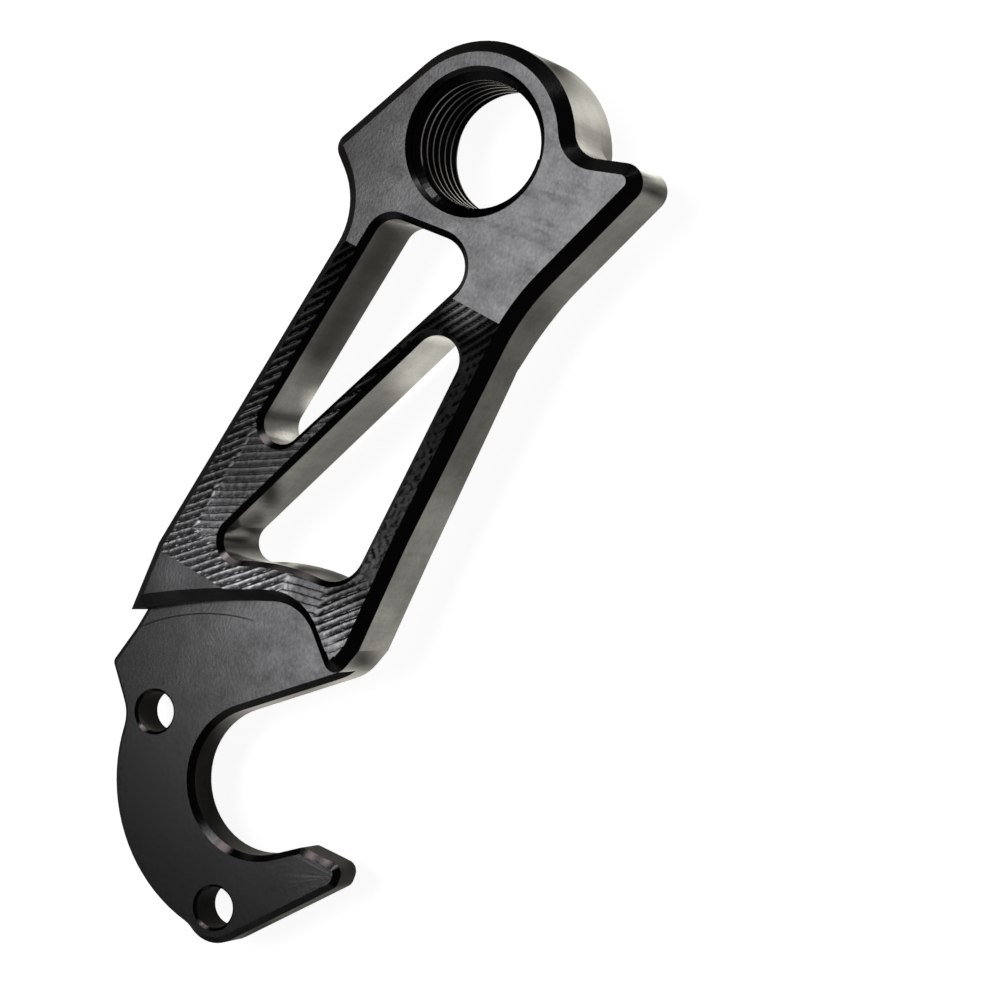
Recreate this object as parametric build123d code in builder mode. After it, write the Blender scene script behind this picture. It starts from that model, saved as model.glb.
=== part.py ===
from build123d import *
from math import acos, atan2, cos, degrees, radians, sin
import os

# Machined hanger plate for a rear derailleur, one solid, in millimetres.
# Origin on the thread axis at the back of the eye's boss, +Z out of the visible face, axle notch towards -Y.

# Thicknesses and heights
boss_height = 2.2
body_thickness = 5.8
plate_thickness = 3.0

# Eye with its M10 x 1 thread
eye_radius = 7.2
thread_radius = 5.0
thread_countersink = 0.3

# Axle notch and the plate round it
reach = 48.4
notch_radius = 5.3
mouth_angle = 38.8
lip_angle = -54.0
plate_radius = 11.92

# Two M3 frame screws, set in from the plate's round edge
screw_inset = 2.12
screw_angles = (172.0, -88.5)
screw_radius = 1.5
screw_countersink = 0.2
screw_boss_radius = 2.6

# Truss: two outer rails and a brace between them
rail_width = 2.3
brace_top = (4.1, 5.18)
brace_foot = (-10.78, -9.0)
brace_foot_height = 14.47
window_top = 6.9
window_bottom_radius = 15.9

# Edges
front_chamfer = 0.92
window_chamfer = 0.5
plate_chamfer = 0.45
back_chamfer = 0.1
boss_chamfer = 0.12

# Relief ground along the right rail's outer back edge, deepest below the spur
relief_depth = 1.05
relief_start = 8.6
relief_deepest = 13.8
relief_end_height = 17.4

# Shallow milled recess across the truss, between two parallel lines
recess_depth = 0.1
recess_start = 10.3
recess_end_height = 11.9
recess_turn = -6.0

# Corners of the upper half of the outline
wing_tip = (-10.7, -3.6)
wing_root = (-7.1, -7.1)
spur_base = (7.0, 1.5)
spur_tip = (13.73, 2.87)
spur_heel = (7.55, -9.85)

# Corners of the lower half, measured from the axle notch's centre
waist_from_notch = (-13.1, 13.3)
left_foot_from_notch = (-13.35, 7.95)
ear_neck_from_notch = (-13.7, 6.3)
ear_tip_from_notch = (-14.6, 3.35)
ear_root_angle = 179.0
right_waist_from_notch = (5.45, 20.4)
right_foot_from_notch = (4.85, 12.25)
foot_angle = 70.0
step_knee_from_notch = (-0.62, 13.65)
step_bulge = 0.42
hook_end = 8.6
hook_drop = 2.9
hook_angle = 48.0

# Corner radii
wing_tip_radius = 1.1
wing_root_radius = 5.5
waist_radius = 60.0
ear_neck_radius = 3.0
ear_tip_radius = 0.5
ear_root_radius = 3.0
hook_tip_radius = 0.8
hook_lip_radius = 0.6
screw_boss_blend = 2.0
foot_radius = 3.5
spur_heel_radius = 17.0
spur_tip_radius = 1.4
spur_base_radius = 2.0
step_knee_radius = 3.5
step_tip_radius = 0.95
upper_window_radii = (1.7, 2.2, 1.5)
lower_window_radii = (1.75, 1.4, 2.5)

back_z = boss_height
plate_z = back_z + plate_thickness
face_z = back_z + body_thickness
far = 4 * reach


def polar(centre, radius, angle):
    """Point at a radius and an angle in degrees round a centre."""
    return (centre[0] + radius * cos(radians(angle)), centre[1] + radius * sin(radians(angle)))


def crossing(first, second):
    """Point where two lines meet, each given by two of its points."""
    (ax, ay), (bx, by) = first
    (cx, cy), (dx, dy) = second
    run = ((cx - ax) * (dy - cy) - (cy - ay) * (dx - cx)) / ((bx - ax) * (dy - cy) - (by - ay) * (dx - cx))
    return (ax + run * (bx - ax), ay + run * (by - ay))


def beside(line, distance):
    """Line parallel to another, to the left of its direction."""
    heading = degrees(atan2(line[1][1] - line[0][1], line[1][0] - line[0][0]))
    return tuple(polar(point, distance, heading + 90) for point in line)


def corner(sketch, point):
    """Corner nearest to a point, in the sketch that is being drawn."""
    return sketch.vertices().sort_by_distance(point)[0]


def from_notch(point):
    """Place of a point that is measured from the axle notch's centre."""
    return (point[0], point[1] - reach)


notch_axis = from_notch((0.0, 0.0))
left_waist = from_notch(waist_from_notch)
left_foot = from_notch(left_foot_from_notch)
ear_neck = from_notch(ear_neck_from_notch)
ear_tip = from_notch(ear_tip_from_notch)
right_waist = from_notch(right_waist_from_notch)
right_foot = from_notch(right_foot_from_notch)
step_knee = from_notch(step_knee_from_notch)
hook_top = -reach - hook_drop
screw_circle_radius = plate_radius - screw_inset
screws = [polar(notch_axis, screw_circle_radius, angle) for angle in screw_angles]
low_screw = screws[1]

# The wing's upper edge leaves the eye's circle as a tangent
wing_angle = degrees(atan2(wing_tip[1], wing_tip[0]) - acos(eye_radius / (wing_tip[0] ** 2 + wing_tip[1] ** 2) ** 0.5))
wing_start = polar((0, 0), eye_radius, wing_angle)
spur_start = polar((0, 0), eye_radius, degrees(atan2(spur_base[1], spur_base[0])))

# The plate's lower edge leaves the low screw's boss as a tangent and runs to the hook's end
hook_start = polar(low_screw, screw_boss_radius, hook_angle - 90)
hook_edge = (hook_start, polar(hook_start, 1.0, hook_angle))
hook_corner = crossing(hook_edge, ((hook_end, 0), (hook_end, 1)))

# The mouth's upper edge is a tangent of the notch and ends at the right rail's foot
mouth_start = polar(notch_axis, notch_radius, mouth_angle + 90)
mouth_edge = (mouth_start, polar(mouth_start, 1.0, mouth_angle))
foot_corner = crossing(mouth_edge, (right_foot, polar(right_foot, 1.0, foot_angle)))

# The mouth's lower lip leaves the notch as a tangent too and rises to the hook's top
lip_start = polar(notch_axis, notch_radius, lip_angle)
lip_corner = crossing((lip_start, polar(lip_start, 1.0, lip_angle + 90)), ((0, hook_top), (1, hook_top)))

# The low screw's boss stands out of the plate's round edge
boss_turn = degrees(
    acos((plate_radius ** 2 + screw_circle_radius ** 2 - screw_boss_radius ** 2) / (2 * plate_radius * screw_circle_radius))
)
boss_start = polar(notch_axis, plate_radius, screw_angles[1] - boss_turn)
ear_root = polar(notch_axis, plate_radius, ear_root_angle)

# Outline of the whole hanger, counter-clockwise from the spur
with BuildSketch(Plane.XY.offset(back_z)) as outline:
    with BuildLine():
        RadiusArc(spur_start, polar((0, 0), eye_radius, 90), -eye_radius)
        RadiusArc(polar((0, 0), eye_radius, 90), wing_start, -eye_radius)
        Polyline(wing_start, wing_tip, wing_root, left_waist, left_foot, ear_neck, ear_tip, ear_root)
        RadiusArc(ear_root, boss_start, -plate_radius)
        RadiusArc(boss_start, hook_start, -screw_boss_radius)
        Polyline(hook_start, hook_corner, (hook_end, hook_top), lip_corner, lip_start)
        ThreePointArc(lip_start, polar(notch_axis, notch_radius, 180), mouth_start)
        Polyline(mouth_start, foot_corner, right_foot, right_waist, spur_heel, spur_tip, spur_start)
    make_face()
    for point, radius in (
        (wing_tip, wing_tip_radius),
        (wing_root, wing_root_radius),
        (ear_neck, ear_neck_radius),
        (ear_tip, ear_tip_radius),
        (ear_root, ear_root_radius),
        (boss_start, screw_boss_blend),
        (hook_corner, hook_tip_radius),
        ((hook_end, hook_top), hook_tip_radius),
        (lip_corner, hook_lip_radius),
        (foot_corner, foot_radius),
        (right_waist, waist_radius),
        (spur_heel, spur_heel_radius),
        (spur_tip, spur_tip_radius),
        (spur_start, spur_base_radius),
    ):
        fillet(corner(outline, point), radius)

# Full-thickness body: the outline above the step, which bows up from the left foot and drops to the right one
step_middle = ((left_foot[0] + step_knee[0]) / 2, (left_foot[1] + step_knee[1]) / 2 + step_bulge)
step_tail = polar(step_knee, far, -45)
with BuildSketch(Plane.XY.offset(back_z)) as body_outline:
    add(outline.sketch)
    with BuildLine():
        ThreePointArc(left_foot, step_middle, step_knee)
        Polyline(step_knee, step_tail, (far, far), (-far, far), (-far, left_foot[1]), left_foot)
    make_face(mode=Mode.INTERSECT)
    step_tip = crossing(mouth_edge, (step_knee, step_tail))
    fillet(corner(body_outline, step_knee), step_knee_radius)
    fillet(corner(body_outline, step_tip), step_tip_radius)

# Windows of the truss, each a triangle with rounded corners; the lower one ends on a circle about the axle notch
upper_side, lower_side = (
    ((top, -window_top), from_notch((foot, brace_foot_height))) for top, foot in zip(brace_top, brace_foot)
)
left_side = beside((wing_root, left_waist), rail_width)
right_side = beside((spur_heel, right_waist), -rail_width)
top_side = ((0, -window_top), (1, -window_top))
bottom_side = (from_notch((0, notch_radius)), from_notch((1, notch_radius)))
upper_corners = (crossing(left_side, top_side), crossing(top_side, upper_side), crossing(left_side, upper_side))
lower_apex = crossing(lower_side, right_side)
with BuildSketch(Plane.XY) as windows:
    with BuildLine():
        Polyline(lower_apex, crossing(lower_side, bottom_side), crossing(right_side, bottom_side), close=True)
    make_face()
    with Locations(notch_axis):
        Circle(window_bottom_radius, mode=Mode.SUBTRACT)
    lower_corners = windows.vertices().sort_by(Axis.Y, reverse=True)
    fillet(lower_corners[0], lower_window_radii[0])
    fillet(windows.vertices().sort_by(Axis.X)[0], lower_window_radii[1])
    fillet(windows.vertices().sort_by_distance((right_waist[0], lower_corners[1].Y))[0], lower_window_radii[2])
    with BuildLine():
        Polyline(*upper_corners, close=True)
    make_face()
    for point, radius in zip(upper_corners, upper_window_radii):
        fillet(corner(windows, point), radius)

# Middle and width of the milled recess, across its two parallel lines
recess_width = reach - recess_start - recess_end_height
recess_middle = polar((0, 0), recess_start + recess_width / 2, recess_turn - 90)

# Course of the relief at the back face, and its triangular section
relief_points = (
    crossing((spur_heel, spur_tip), ((0, -relief_start), (1, -relief_start))),
    crossing(
        ((spur_heel[0] - relief_depth, spur_heel[1]), (right_waist[0] - relief_depth, right_waist[1])),
        ((0, -relief_deepest), (1, -relief_deepest)),
    ),
    crossing((right_waist, right_foot), (from_notch((0, relief_end_height)), from_notch((1, relief_end_height)))),
)
relief_section = ((0, 0), (3 * relief_depth, 3 * relief_depth), (3 * relief_depth, 0))

# Plate over the whole outline, chamfered front and back
with BuildPart() as plate:
    extrude(outline.sketch, amount=plate_thickness)
    chamfer(plate.edges().group_by(Axis.Z)[-1], plate_chamfer)
    chamfer(plate.edges().group_by(Axis.Z)[0], back_chamfer)

with BuildPart() as derailleur_hanger:
    # Full-thickness body above the step, standing on the plate's walls
    with BuildSketch(Plane.XY.offset(back_z + back_chamfer)):
        add(body_outline.sketch_local)
    extrude(amount=body_thickness - back_chamfer)
    chamfer(derailleur_hanger.edges().group_by(Axis.Z)[-1], front_chamfer)
    add(plate.part)

    # Windows through the truss
    before = derailleur_hanger.edges()
    with BuildSketch():
        add(windows.sketch_local)
    extrude(amount=face_z, mode=Mode.SUBTRACT)
    rims = derailleur_hanger.edges() - before
    chamfer(rims.group_by(Axis.Z)[-1], window_chamfer)

    # Relief along the right rail's outer back edge
    for start, end in zip(relief_points, relief_points[1:]):
        run = Vector(end[0] - start[0], end[1] - start[1])
        with BuildSketch(Plane(origin=(start[0], start[1], back_z), x_dir=(-run.Y, run.X, 0), z_dir=run)):
            Polygon(*relief_section, align=None)
        extrude(amount=run.length, mode=Mode.SUBTRACT)

    # Milled recess
    with BuildSketch(Plane.XY.offset(face_z - recess_depth)):
        with Locations(recess_middle):
            Rectangle(2 * reach, recess_width, rotation=recess_turn)
    extrude(amount=recess_depth, mode=Mode.SUBTRACT)

    # Round boss behind the eye, which seats on the frame
    with BuildSketch():
        Circle(eye_radius)
    extrude(amount=back_z + 2 * back_chamfer)
    chamfer(derailleur_hanger.edges().group_by(Axis.Z)[0], boss_chamfer)

    # Threaded eye
    with Locations((0, 0, face_z)):
        CounterSinkHole(thread_radius, thread_radius + thread_countersink, counter_sink_angle=90)

    # Frame screws
    with Locations([(x, y, plate_z) for x, y in screws]):
        CounterSinkHole(screw_radius, screw_radius + screw_countersink, counter_sink_angle=90)

derailleur_hanger.part.label = "derailleur_hanger"
os.makedirs("parts", exist_ok=True)
export_step(derailleur_hanger.part, "parts/derailleur_hanger.step")
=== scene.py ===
import math

import bmesh
import bpy
from mathutils import Matrix, Vector, noise


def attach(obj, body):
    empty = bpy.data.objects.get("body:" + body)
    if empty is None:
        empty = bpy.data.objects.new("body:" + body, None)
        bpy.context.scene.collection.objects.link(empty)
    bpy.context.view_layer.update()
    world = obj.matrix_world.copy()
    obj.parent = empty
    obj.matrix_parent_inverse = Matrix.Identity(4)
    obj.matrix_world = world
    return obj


# Derailleur hanger on a pale floor. Metres, with the origin on the eye's axis at the boss's back, and +Z out
# of the face that the camera sees.
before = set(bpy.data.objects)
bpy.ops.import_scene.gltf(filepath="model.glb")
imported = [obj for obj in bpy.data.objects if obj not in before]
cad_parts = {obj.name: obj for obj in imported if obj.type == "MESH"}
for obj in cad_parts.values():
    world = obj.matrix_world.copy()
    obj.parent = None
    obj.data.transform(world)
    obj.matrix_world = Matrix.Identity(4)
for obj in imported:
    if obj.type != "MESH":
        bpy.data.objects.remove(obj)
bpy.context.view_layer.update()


# Hanger: one plate of aluminium, milled, chamfered, threaded and anodised black. The metal mirrors soft light
# and the black oxide holds that down to a satin dark grey, with a fine grain and a faint mottle.
MM = 0.001


def linear(code):
    """Linear colour of an sRGB hex code."""
    parts = [int(code[i : i + 2], 16) / 255 for i in (1, 3, 5)]
    return [p / 12.92 if p <= 0.04045 else ((p + 0.055) / 1.055) ** 2.4 for p in parts] + [1.0]


def add(tree, kind, inputs=(), **settings):
    """Adds a node with its settings. Its inputs take values, outputs, or nodes for their first output."""
    item = tree.nodes.new("ShaderNode" + kind)
    for name, value in settings.items():
        setattr(item, name, value)
    for name, value in dict(inputs if isinstance(inputs, dict) else enumerate(inputs)).items():
        if isinstance(value, bpy.types.Node):
            tree.links.new(value.outputs[0], item.inputs[name])
        elif isinstance(value, bpy.types.NodeSocket):
            tree.links.new(value, item.inputs[name])
        else:
            item.inputs[name].default_value = value
    return item


def spot(tree, total, away, radius, strength):
    """Adds a soft spot to a value: all of its strength where away is nothing, none from its radius on."""
    spread = (away.outputs["Value"], radius * MM, 0.0, 0.0, strength)
    soft = add(tree, "MapRange", spread, interpolation_type="SMOOTHSTEP")
    return add(tree, "Math", (total, soft), operation="ADD")


def patches(tree, total, flat_place, places):
    """Adds soft round patches to a value: x, y and radius in millimetres, and strength."""
    for x, y, radius, strength in places:
        away = add(tree, "VectorMath", (flat_place, (x * MM, y * MM, 0)), operation="DISTANCE")
        total = spot(tree, total, away, radius, strength)
    return total


anodised = bpy.data.materials.new("black anodised aluminium, milled")
anodised.use_nodes = True
tree = anodised.node_tree

# Places on the piece: over its width, its length and its thickness, then its level faces, its walls, the
# chamfers between them, and the plate's face, which lies 2.8 mm below the eye's
place = add(tree, "TexCoord").outputs["Object"]
flat_place = add(tree, "VectorMath", (place, (1, 1, 0)), operation="MULTIPLY")
width, length, level = add(tree, "SeparateXYZ", (place,)).outputs
facing = add(tree, "SeparateXYZ", (add(tree, "NewGeometry").outputs["Normal"],)).outputs["Z"]
flat_face = add(tree, "MapRange", (facing, 0.9, 0.99))
wall = add(tree, "MapRange", (add(tree, "Math", (facing,), operation="ABSOLUTE"), 0.3, 0.1))
off_wall = add(tree, "MapRange", (facing, 0.3, 0.5))
off_level = add(tree, "MapRange", (facing, 0.9, 0.8))
chamfer = add(tree, "Math", (off_wall, off_level), operation="MULTIPLY")
low = add(tree, "MapRange", (level, 5.4 * MM, 5.3 * MM))
plate = add(tree, "Math", (low, flat_face), operation="MULTIPLY")

# Sheen of the oxide, paler and smoother where it is higher: grain of about 0.25 mm, drawn coarser than real
# so that it shows, and clouds of 2 to 4 mm. The plate is a little paler than the rest.
slant = add(tree, "Mapping", {"Vector": place, "Rotation": (0, 0, -0.3), "Scale": (1.4, 1, 1)})
grain = add(tree, "TexNoise", {"Vector": slant, "Scale": 3.6 / MM, "Detail": 2.0, "Roughness": 0.6})
cloud = add(tree, "TexNoise", {"Vector": place, "Scale": 0.38 / MM, "Detail": 3.0, "Roughness": 0.6})
sheen = add(tree, "Math", (grain, 0.6, cloud), operation="MULTIPLY_ADD")
sheen = add(tree, "Math", (sheen, 0.3), operation="SUBTRACT")
sheen = add(tree, "Math", (plate, 0.15, sheen), operation="MULTIPLY_ADD")

# Dull bands that the facing cutter left to the right and left of the eye, five times as long as wide
level_lines = add(tree, "Mapping", {"Vector": place, "Scale": (1, 5, 1)})
bands = add(tree, "TexNoise", {"Vector": level_lines, "Scale": 0.23 / MM, "Detail": 1.0, "Roughness": 0.6})
near_eye = add(tree, "MapRange", (length, -12 * MM, -4 * MM, 0.0, -0.12))
bands = add(tree, "MapRange", (bands, 0.56, 0.64))
sheen = add(tree, "Math", (bands, near_eye, sheen), operation="MULTIPLY_ADD")

# Walls: fine marks across the height from the side of the end mill, stains of about 1 mm, and broad bands of
# 2 to 4 mm that run the whole height
upright = add(tree, "Mapping", {"Vector": place, "Scale": (3, 3, 0.3)})
chatter = add(tree, "TexNoise", {"Vector": upright, "Scale": 0.7 / MM, "Detail": 2.0, "Roughness": 0.6})
stain = add(tree, "TexNoise", {"Vector": place, "Scale": 0.9 / MM, "Detail": 3.0, "Roughness": 0.6})
marks = add(tree, "Math", (chatter, stain), operation="ADD")
marks = add(tree, "Math", (marks, 0.5, -0.5), operation="MULTIPLY_ADD")
whole_height = add(tree, "Mapping", {"Vector": place, "Scale": (1, 1, 0.03)})
broad = add(tree, "TexNoise", {"Vector": whole_height, "Scale": 0.33 / MM, "Detail": 1.0, "Roughness": 0.6})
broad = add(tree, "MapRange", (broad, 0.35, 0.65, -0.15, 0.15))
marks = add(tree, "Math", (marks, broad), operation="ADD")
sheen = add(tree, "Math", (marks, wall, sheen), operation="MULTIPLY_ADD")

# Fan of short strokes that the cutter left on the plate at the end of the hook, painted bright as a highlight:
# about nine a radian, and gone 4.2 mm from their centre
fan_centre = (8.35 * MM, -52.1 * MM, 0)
fan_left = add(tree, "Math", (fan_centre[0], width), operation="SUBTRACT")
fan_up = add(tree, "Math", (length, fan_centre[1]), operation="SUBTRACT")
fan_turn = add(tree, "Math", (fan_up, fan_left), operation="ARCTAN2")
fan_strokes = add(tree, "TexNoise", {"W": fan_turn, "Scale": 9.0, "Detail": 1.0}, noise_dimensions="1D")
fan_radius = add(tree, "VectorMath", (flat_place, fan_centre), operation="DISTANCE").outputs["Value"]
fan_reach = add(tree, "MapRange", (fan_radius, 4.2 * MM, 1.8 * MM, 0.0, 0.85))
fan = add(tree, "MapRange", (fan_strokes, 0.48, 0.62))
fan = add(tree, "Math", (fan, fan_reach), operation="MULTIPLY")
fan = add(tree, "Math", (fan, plate), operation="MULTIPLY")

# Line that the corner of the cutter scribed on the plate's left half: an arc of 15.67 mm radius, 0.1 mm wide
scribe_centre = (-2.57 * MM, -53.29 * MM, 0)
scribe_radius = add(tree, "VectorMath", (flat_place, scribe_centre), operation="DISTANCE").outputs["Value"]
off_line = add(tree, "Math", (scribe_radius, 15.67 * MM), operation="SUBTRACT")
off_line = add(tree, "Math", (off_line,), operation="ABSOLUTE")
scribed = add(tree, "MapRange", (off_line, 0.07 * MM, 0.03 * MM, 0.0, 0.8))
left_half = add(tree, "MapRange", (width, -4.2 * MM, -5.5 * MM))
scribed = add(tree, "Math", (scribed, left_half), operation="MULTIPLY")
scribed = add(tree, "Math", (scribed, plate), operation="MULTIPLY")

tone = add(tree, "ValToRGB", (sheen,))
for stop, position, code in zip(tone.color_ramp.elements, (0.2, 0.8), ("#474748", "#656566")):
    stop.position = position
    stop.color = linear(code)
lined = add(tree, "Mix", {"Factor": scribed, "A": tone, "B": linear("#161618")}, data_type="RGBA")

# Recess across the truss: its floor lies lower than the face, and painted shading takes it from near black at
# the eye to pale at the step, 6 degrees off the length, and from right to left. The right rail stays darker,
# in painted shade.
under_face = add(tree, "MapRange", (level, 7.9995 * MM, 7.999 * MM))
over_chamfer = add(tree, "MapRange", (level, 7.85 * MM, 7.88 * MM))
in_recess = add(tree, "Math", (under_face, over_chamfer), operation="MULTIPLY")
level_enough = add(tree, "MapRange", (facing, 0.75, 0.85))
in_recess = add(tree, "Math", (in_recess, level_enough), operation="MULTIPLY")
down_truss = add(tree, "VectorMath", (place, (-0.1045, -0.9945, 0)), operation="DOT_PRODUCT").outputs["Value"]
slow_rise = add(tree, "MapRange", (down_truss, 8 * MM, 35 * MM, 0.2, 1.22))
slow_rise = add(tree, "Math", (slow_rise, 3.0), operation="POWER")
late_rise = add(tree, "MapRange", (down_truss, 26.5 * MM, 35.5 * MM, 0.0, 1.25))
late_rise = add(tree, "Math", (late_rise, 2.0), operation="POWER")
recess_painted_shade = add(tree, "Math", (slow_rise, late_rise), operation="ADD")
to_left = add(tree, "MapRange", (width, -2.8 * MM, -1 * MM, 1.25, 0.38))
recess_painted_shade = add(tree, "Math", (recess_painted_shade, to_left), operation="MULTIPLY")
right_side = add(tree, "MapRange", (width, 0.0, 1.5 * MM))
above_foot = add(tree, "MapRange", (down_truss, 33 * MM, 30 * MM))
right_rail = add(tree, "Math", (right_side, above_foot), operation="MULTIPLY")
right_rail = add(tree, "MapRange", (right_rail, 0.0, 1.0, 1.0, 0.75))
recess_painted_shade = add(tree, "Math", (recess_painted_shade, right_rail), operation="MULTIPLY")

# Painted light below the spur and at both ends of the foot, painted shade in the foot's middle and beside the
# lower window
recess_painted_shade = patches(
    tree,
    recess_painted_shade,
    flat_place,
    (
        (3.9, -10.8, 2.6, 0.7),
        (-5.3, -35.0, 3.2, 1.35),
        (3.0, -34.6, 2.6, 1.3),
        (-0.6, -34.1, 1.8, -0.25),
        (-8.0, -28.5, 3.0, -0.42),
    ),
)
strength = add(tree, "Math", (recess_painted_shade, 1.0), operation="SUBTRACT")
strength = add(tree, "Math", (strength, in_recess, 1.0), operation="MULTIPLY_ADD")
strength = add(tree, "Math", (strength, fan), operation="ADD")

# The flat triangle left of the recess, at the foot, is paler again
strength = patches(tree, strength, flat_place, ((-10.6, -36.6, 2.8, 0.7),))

# Painted reflections across the walls, dark and bright bands: in the windows' corners, on the eye's side and
# at the end of the spur
painted_wall_reflections = patches(
    tree,
    0.0,
    flat_place,
    (
        (-8.25, -23.3, 0.8, -1.1),
        (-7.7, -24.5, 0.8, 0.7),
        (-7.95, -31.9, 0.6, -0.9),
        (-7.75, -33.25, 0.6, -0.9),
        (6.3, 3.5, 0.5, -0.35),
        (12.5, 1.55, 0.35, -0.8),
        (12.1, 2.0, 0.6, 1.1),
    ),
)
strength = add(tree, "Math", (painted_wall_reflections, wall, strength), operation="MULTIPLY_ADD")
strength = add(tree, "Math", (strength, 0.05), operation="MAXIMUM")
shaded = add(tree, "VectorMath", {0: lined.outputs["Result"], "Scale": strength}, operation="SCALE")

# Painted reflections, pinkish and dull, in patches on the chamfers: at the windows' and the notch's lower
# left, on the hook and at the lower screw hole
painted_chamfer_reflections = patches(
    tree,
    0.0,
    flat_place,
    (
        (-6.7, -33.9, 1.0, 1.0),
        (-4.9, -33.6, 1.6, 0.35),
        (-2.6, -33.3, 1.9, 0.6),
        (-0.7, -32.9, 1.5, 0.9),
        (-7.5, -24.9, 0.9, 0.9),
        (-0.8, -53.9, 1.0, 1.2),
        (6.0, -51.5, 1.0, 1.0),
        (7.2, -51.4, 0.9, 1.0),
        (-10.1, -48.6, 0.5, 1.0),
        (0.1, -59.7, 0.5, 1.0),
    ),
)
painted_chamfer_reflections = add(tree, "Math", (painted_chamfer_reflections, 1.0), operation="MINIMUM")
painted_chamfer_reflections = add(tree, "Math", (painted_chamfer_reflections, chamfer), operation="MULTIPLY")
colour = add(tree, "Mix", {"Factor": painted_chamfer_reflections, "A": shaded, "B": linear("#f2dfe1")}, data_type="RGBA")
metallic = add(tree, "MapRange", (painted_chamfer_reflections, 0.0, 1.0, 1.0, 0.2))

# Roughness from satin to nearly polished, and a very shallow relief of the grain and the end mill's marks
roughness = add(tree, "MapRange", (sheen, 0.2, 0.8, 0.2, 0.14))
roughness = add(tree, "Math", (plate, 0.028, roughness), operation="MULTIPLY_ADD")
roughness = add(tree, "Math", (painted_chamfer_reflections, 0.2, roughness), operation="MULTIPLY_ADD")
marked = add(tree, "Math", (wall, painted_chamfer_reflections), operation="ADD")
relief = add(tree, "Math", (chatter, marked), operation="MULTIPLY")
relief = add(tree, "Math", (relief, 4.0, grain), operation="MULTIPLY_ADD")
bump = add(tree, "Bump", {"Height": relief, "Strength": 0.5, "Distance": 0.005 * MM})
shader = tree.nodes["Principled BSDF"]
tree.links.new(colour.outputs["Result"], shader.inputs["Base Color"])
tree.links.new(metallic.outputs["Result"], shader.inputs["Metallic"])
tree.links.new(roughness.outputs["Value"], shader.inputs["Roughness"])
tree.links.new(bump.outputs["Normal"], shader.inputs["Normal"])

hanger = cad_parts["derailleur_hanger"]
hanger.data.materials.clear()
hanger.data.materials.append(anodised)


# Milled recess across the truss, part of the same piece: the troughs that a round-nosed cutter left, 0.54 mm
# apart, with a crest between them. Along the middle of the truss and on the foot a second pass lies flatter
# over the first.
trough_gap = 0.54
recess_level = 7.9
recess = bmesh.new()
recess.from_mesh(hanger.data)
bmesh.ops.remove_doubles(recess, verts=recess.verts, dist=1e-7)
others = [
    face
    for face in recess.faces
    if face.normal.z < 0.999 or abs(face.calc_center_median().z - recess_level * MM) > 0.01 * MM
]
bmesh.ops.delete(recess, geom=others, context="FACES")

# Cuts along the troughs, 0.05 mm apart, and across them, 0.1 mm apart, so that crests follow the mesh's edges
for turn, gap in ((131.0, 0.05), (41.0, 0.1)):
    heading = Vector((math.cos(math.radians(turn)), math.sin(math.radians(turn)), 0))
    reach = [heading.dot(vert.co) / MM for vert in recess.verts]
    for step in range(math.ceil(min(reach) / gap), math.ceil(max(reach) / gap)):
        bmesh.ops.bisect_plane(
            recess,
            geom=recess.verts[:] + recess.edges[:] + recess.faces[:],
            dist=1e-8,
            plane_co=heading * step * gap * MM,
            plane_no=heading,
        )


def trough(x, y, centre, rise, shift):
    """Height in troughs that run round a far centre and wander a little, up to the rise of their crests."""
    slow = 0.07 * noise.noise(Vector((x * 0.5, y * 0.5, shift)))
    quick = 0.025 * noise.noise(Vector((x * 2, y * 2, shift)))
    course = (slow + quick - math.hypot(x - centre[0], y - centre[1])) / trough_gap + shift
    share = course - math.floor(course)
    deepest = 0.65
    side = deepest if share < deepest else 1 - deepest
    return rise * ((share - deepest) / side) ** 2


def held(*shares):
    """Least of some shares, held between nothing and one."""
    return max(0.0, min(1.0, *shares))


# The second pass starts 2 mm inside the truss's left edge. Crests are lower on the right rail and on the tip.
# The troughs stay above the recess's floor and their crests below the eye's face, which are 0.1 mm apart.
for vert in recess.verts:
    x = vert.co.x / MM
    y = vert.co.y / MM
    from_left_edge = (x + 7.1) * 0.9776 - (y + 7.1) * 0.2095 + 0.35 * noise.noise(Vector((x, y, 3.0)))
    above_step = y + 33.2 + 0.6 * noise.noise(Vector((x, y, 6.0)))
    middle = held((from_left_edge - 2.0) / 0.35, above_step / 0.4, (-21.0 - y) / 2.0, (-3.0 - x) / 0.5)
    foot = held((x + 2.6) / 0.8, (1.6 - x) / 0.6, (-32.0 - y) / 0.5)
    rail = held((x + 1.0) / 2.0, (-13.0 - y) / 2.0, (y + 32.5) / 1.5)
    tip = held((-35.3 - y) / 0.8, x)
    crest = 0.028 * (1 - 0.65 * max(rail, tip))
    rubbed = 0.012 * rail * noise.noise(Vector((x * 2.7, y * 2.7, 1.0)))
    first = trough(x, y, (-71.1, 47.4), crest, 0.0) + rubbed
    on_truss = trough(x, y, (-46.0, 64.0), 0.018, 7.0)
    on_foot = trough(x, y, (-16.0, 62.0), 0.011, 4.0)
    second = on_truss * (1 - foot) + on_foot * foot
    flatter = max(middle, foot)
    rough = 0.003 * noise.noise(Vector((x * 2.5, y * 2.5, 9.0)))
    height = 0.048 + first * (1 - flatter) + second * flatter + rough
    vert.co.z += max(0.003, min(0.098, height)) * MM


def made(name, mesh, material):
    """Object made of a finished mesh, with its material."""
    data = bpy.data.meshes.new(name)
    mesh.to_mesh(data)
    mesh.free()
    data.materials.append(material)
    piece = bpy.data.objects.new(name, data)
    bpy.context.collection.objects.link(piece)
    return piece


milled_recess = made("milled_recess", recess, anodised)
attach(milled_recess, "root")


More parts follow.
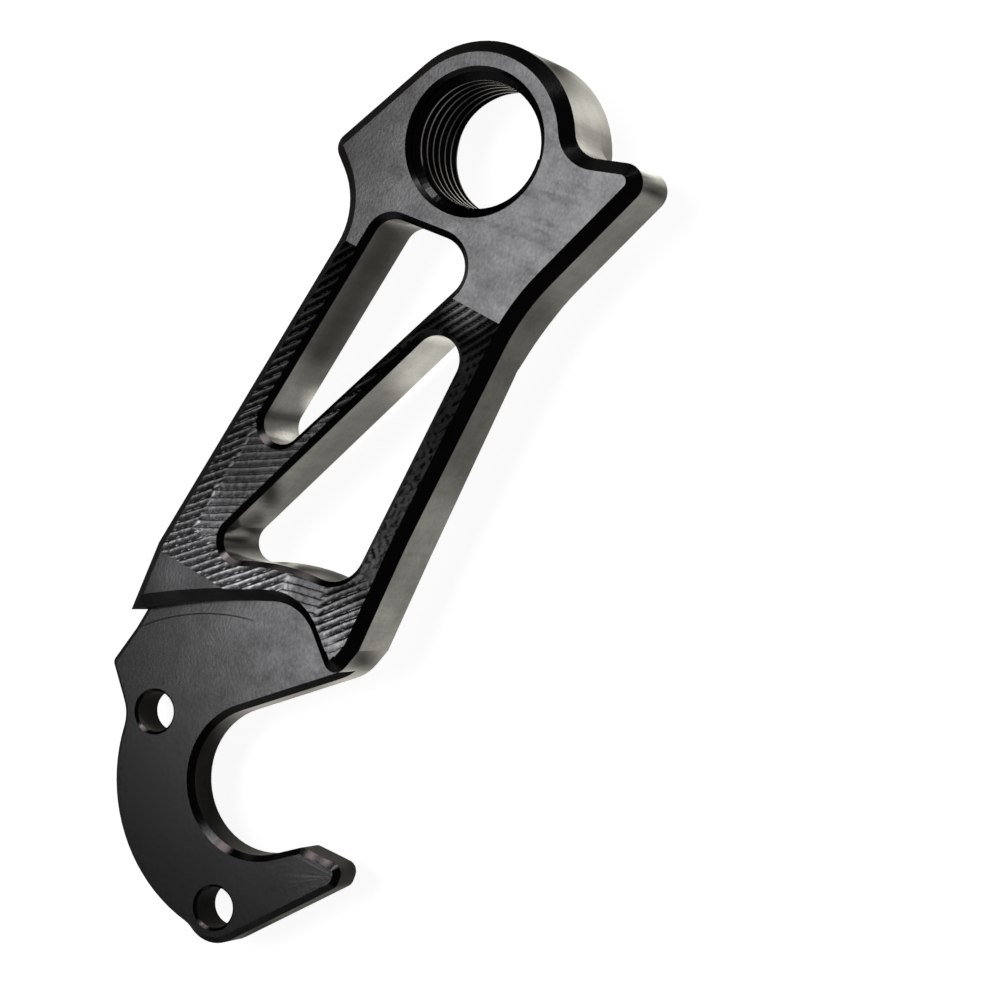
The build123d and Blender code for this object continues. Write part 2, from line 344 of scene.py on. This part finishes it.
# Thread of the eye: M10 x 1, cut into the plate. The bore is at the major radius, so the ridge stands inwards.
# It is a trapezoid led round the bore in a helix, with its root 0.03 mm inside the wall so that no gap shows.
# It runs out into the wall below, and the countersink cuts it above.
pitch = 1.0
bore_radius = 5.0
root_radius = bore_radius + 0.03
crest_radius = 4.47
countersunk_radius = root_radius + 0.3
face_height = 8.0
lowest = 0.5
highest = 7.52
steps_a_turn = 72

# Corners of the trapezoid: the radius of each, and its height as a share of the pitch
profile = ((root_radius, -0.44), (crest_radius, -0.08), (crest_radius, 0.08), (root_radius, 0.44))
thread = bmesh.new()
corners = [thread.verts.new((radius * MM, 0, (lowest + share * pitch) * MM)) for radius, share in profile]
edges = [thread.edges.new(pair) for pair in zip(corners, corners[1:])]
steps = round(steps_a_turn * (highest - lowest) / pitch)
bmesh.ops.spin(
    thread,
    geom=corners + edges,
    axis=(0, 0, 1),
    cent=(0, 0, 0),
    angle=2 * math.pi * steps / steps_a_turn,
    steps=steps,
    dvec=(0, 0, pitch * MM / steps_a_turn),
)
for vert in thread.verts:
    radius = math.hypot(vert.co.x, vert.co.y) / MM
    height = vert.co.z / MM
    grown = held((height - lowest) / (0.45 * pitch))
    runout = root_radius - (root_radius - crest_radius) * grown
    countersink = countersunk_radius - (face_height - height)
    cut = max(radius, runout, countersink) / radius
    vert.co.x *= cut
    vert.co.y *= cut
bmesh.ops.recalc_face_normals(thread, faces=thread.faces)
crest_face = next(face for face in thread.faces if abs(face.normal.z) < 0.5)
outwards = crest_face.calc_center_median() * Vector((1, 1, 0))
if crest_face.normal.dot(outwards) > 0:
    bmesh.ops.reverse_faces(thread, faces=thread.faces)
eye_thread = made("eye_thread", thread, anodised)
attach(eye_thread, "root")


# Floor: a pale sheet of matt paper, laid flat under the hanger. The camera sees it white, with the hanger's
# soft shadow. The walls mirror it, and to them it glows with painted reflections in pale and dark stretches.
def strokes(tree, total, flat_place, places):
    """Adds soft strokes to a value: x and y of both ends and radius in millimetres, and strength."""
    for x_1, y_1, x_2, y_2, radius, strength in places:
        way = Vector((x_2 - x_1, y_2 - y_1, 0)) * MM
        gone = add(tree, "VectorMath", (flat_place, (x_1 * MM, y_1 * MM, 0)), operation="SUBTRACT")
        share = add(tree, "VectorMath", (gone, way / way.length_squared), operation="DOT_PRODUCT")
        share = add(tree, "MapRange", (share.outputs["Value"], 0.0, 1.0))
        nearest = add(tree, "VectorMath", {0: way, "Scale": share}, operation="SCALE")
        away = add(tree, "VectorMath", (gone, nearest), operation="DISTANCE")
        total = spot(tree, total, away, radius, strength)
    return total


paper = bpy.data.materials.new("white paper")
paper.use_nodes = True
tree = paper.node_tree
sheet = tree.nodes["Principled BSDF"]
sheet.inputs["Base Color"].default_value = linear("#f4f4f4")
sheet.inputs["Roughness"].default_value = 0.9
glow = add(tree, "Emission", ((1, 1, 1, 1), 0.92))
seen = add(tree, "AddShader", (sheet, glow))

# Painted glow that the walls mirror: pale under the hanger and fading out round it, dark on its left and under
# the hook
floor_place = add(tree, "TexCoord").outputs["Object"]
flat_floor_place = add(tree, "VectorMath", (floor_place, (1, 1, 0)), operation="MULTIPLY")
floor_width, floor_length = add(tree, "SeparateXYZ", (floor_place,)).outputs[:2]
from_left = add(tree, "MapRange", (floor_width, -16 * MM, -9 * MM))
from_hook = add(tree, "MapRange", (floor_length, -50 * MM, -41 * MM, 0.15, 1.0))
painted_floor_glow = add(tree, "Math", (from_left, from_hook), operation="MULTIPLY")
middle_place = (0, -26 * MM, 0)
off_middle = add(tree, "VectorMath", (flat_floor_place, middle_place), operation="DISTANCE").outputs["Value"]
near_middle = add(tree, "MapRange", (off_middle, 55 * MM, 36 * MM))
painted_floor_glow = add(tree, "Math", (painted_floor_glow, near_middle), operation="MULTIPLY")

# Painted brighter and darker stretches beside the eye, the spur, the foot's corner, the plate and the notch,
# and along the arm's right side and the windows' walls
painted_floor_glow = patches(
    tree,
    painted_floor_glow,
    flat_floor_place,
    (
        (6.6, 6.4, 4.0, 1.4),
        (2.8, 9.2, 2.6, -0.35),
        (0.5, 8.2, 3.0, -0.9),
        (10.0, 4.0, 2.4, 1.5),
        (13.0, 4.8, 1.2, -0.8),
        (14.6, 1.6, 2.8, -0.85),
        (5.8, -39.3, 2.2, -0.85),
        (7.0, -36.0, 4.0, 0.35),
        (-7.5, -22.3, 1.7, 2.8),
        (0.2, -42.8, 4.5, -0.45),
        (-4.0, -49.5, 3.6, -0.2),
        (-9.4, -47.3, 3.2, -1.0),
        (0.7, -58.5, 3.2, -1.0),
        (-3.4, 0.8, 3.0, -0.9),
        (-2.2, -3.6, 2.0, 1.3),
    ),
)
painted_floor_glow = strokes(
    tree,
    painted_floor_glow,
    flat_floor_place,
    (
        (12.0, -2.0, 9.8, -10.0, 4.0, -0.3),
        (9.6, -13.0, 8.2, -22.0, 5.0, -0.5),
        (-2.6, -9.5, -4.6, -18.0, 4.0, -0.8),
        (-5.0, -20.2, -5.4, -21.4, 2.0, -0.4),
        (3.2, -14.0, 1.0, -18.2, 3.4, 1.3),
        (-1.4, -22.2, -6.1, -30.5, 3.2, -0.38),
        (-6.9, -34.5, -6.7, -33.4, 1.1, -0.9),
        (-5.2, -32.2, -1.8, -31.8, 1.6, -0.9),
    ),
)
painted_floor_glow = add(tree, "Math", (painted_floor_glow, 0.05), operation="MAXIMUM")
painted_floor_reflection = add(tree, "Emission", (linear("#fffcee"), painted_floor_glow))
glossy_ray = add(tree, "LightPath").outputs["Is Glossy Ray"]
blend = add(tree, "MixShader", (glossy_ray, seen, painted_floor_reflection))
tree.links.new(blend.outputs["Shader"], tree.nodes["Material Output"].inputs["Surface"])

sheet_mesh = bmesh.new()
bmesh.ops.create_circle(sheet_mesh, cap_ends=True, segments=64, radius=2.0)
bmesh.ops.translate(sheet_mesh, verts=sheet_mesh.verts, vec=(0, 0, -0.02 * MM))
floor = made("floor", sheet_mesh, paper)


# Studio: white to the camera. To the hanger it is a dark room, a little paler towards the notch, with one
# large soft light above and to the left, which the flat face mirrors, and a narrow one low beyond the eye.
world = bpy.data.worlds.new("studio")
bpy.context.scene.world = world
world.use_nodes = True
tree = world.node_tree
ray_way = add(tree, "SeparateXYZ", (add(tree, "TexCoord").outputs["Generated"],)).outputs["Y"]
dim = add(tree, "Background", ((1, 1, 1, 1), add(tree, "MapRange", (ray_way, -0.7, -0.98, 0.012, 0.1))))
white = add(tree, "Background", ((1, 1, 1, 1), 1.0))
camera_ray = add(tree, "LightPath").outputs["Is Camera Ray"]
room = add(tree, "MixShader", (camera_ray, dim, white))
tree.links.new(room.outputs["Shader"], tree.nodes["World Output"].inputs["Surface"])


def softbox(name, place, size, power, target):
    """Rectangular light that faces a target."""
    light = bpy.data.lights.new(name, "AREA")
    light.shape = "RECTANGLE"
    light.size, light.size_y = size
    light.energy = power
    lamp = bpy.data.objects.new(name, light)
    lamp.location = place
    lamp.rotation_euler = (Vector(place) - Vector(target)).to_track_quat("Z", "Y").to_euler()
    bpy.context.collection.objects.link(lamp)


softbox("key", (-0.207, -0.003, 0.6), (0.194, 0.36), 0.64, target=(-0.207, -0.003, 0))
softbox("edge_light", (0.05, 0.46, 0.19), (0.22, 0.07), 0.1, target=(0, -0.025, 0.004))


# Camera: the photograph's place and lens, about 209 mm away and 24 degrees off the eye's axis. The three
# vectors point to the picture's right, to its top, and back from the object.
lens = bpy.data.cameras.new("camera")
lens.sensor_width = 36.0
lens.lens = 104.15
lens.clip_start = 0.01
camera = bpy.data.objects.new("camera", lens)
right = Vector((0.84807026, 0.34884939, -0.39884951))
up = Vector((-0.36580228, 0.93001064, 0.03562149))
back = Vector((0.38336083, 0.11569054, 0.91632427))
turned = Matrix((right, up, back)).transposed().to_4x4()
camera.matrix_world = Matrix.Translation((0.08736349, 0.00072981, 0.189894)) @ turned
bpy.context.collection.objects.link(camera)
bpy.context.scene.camera = camera
bpy.context.scene.view_settings.view_transform = "Standard"
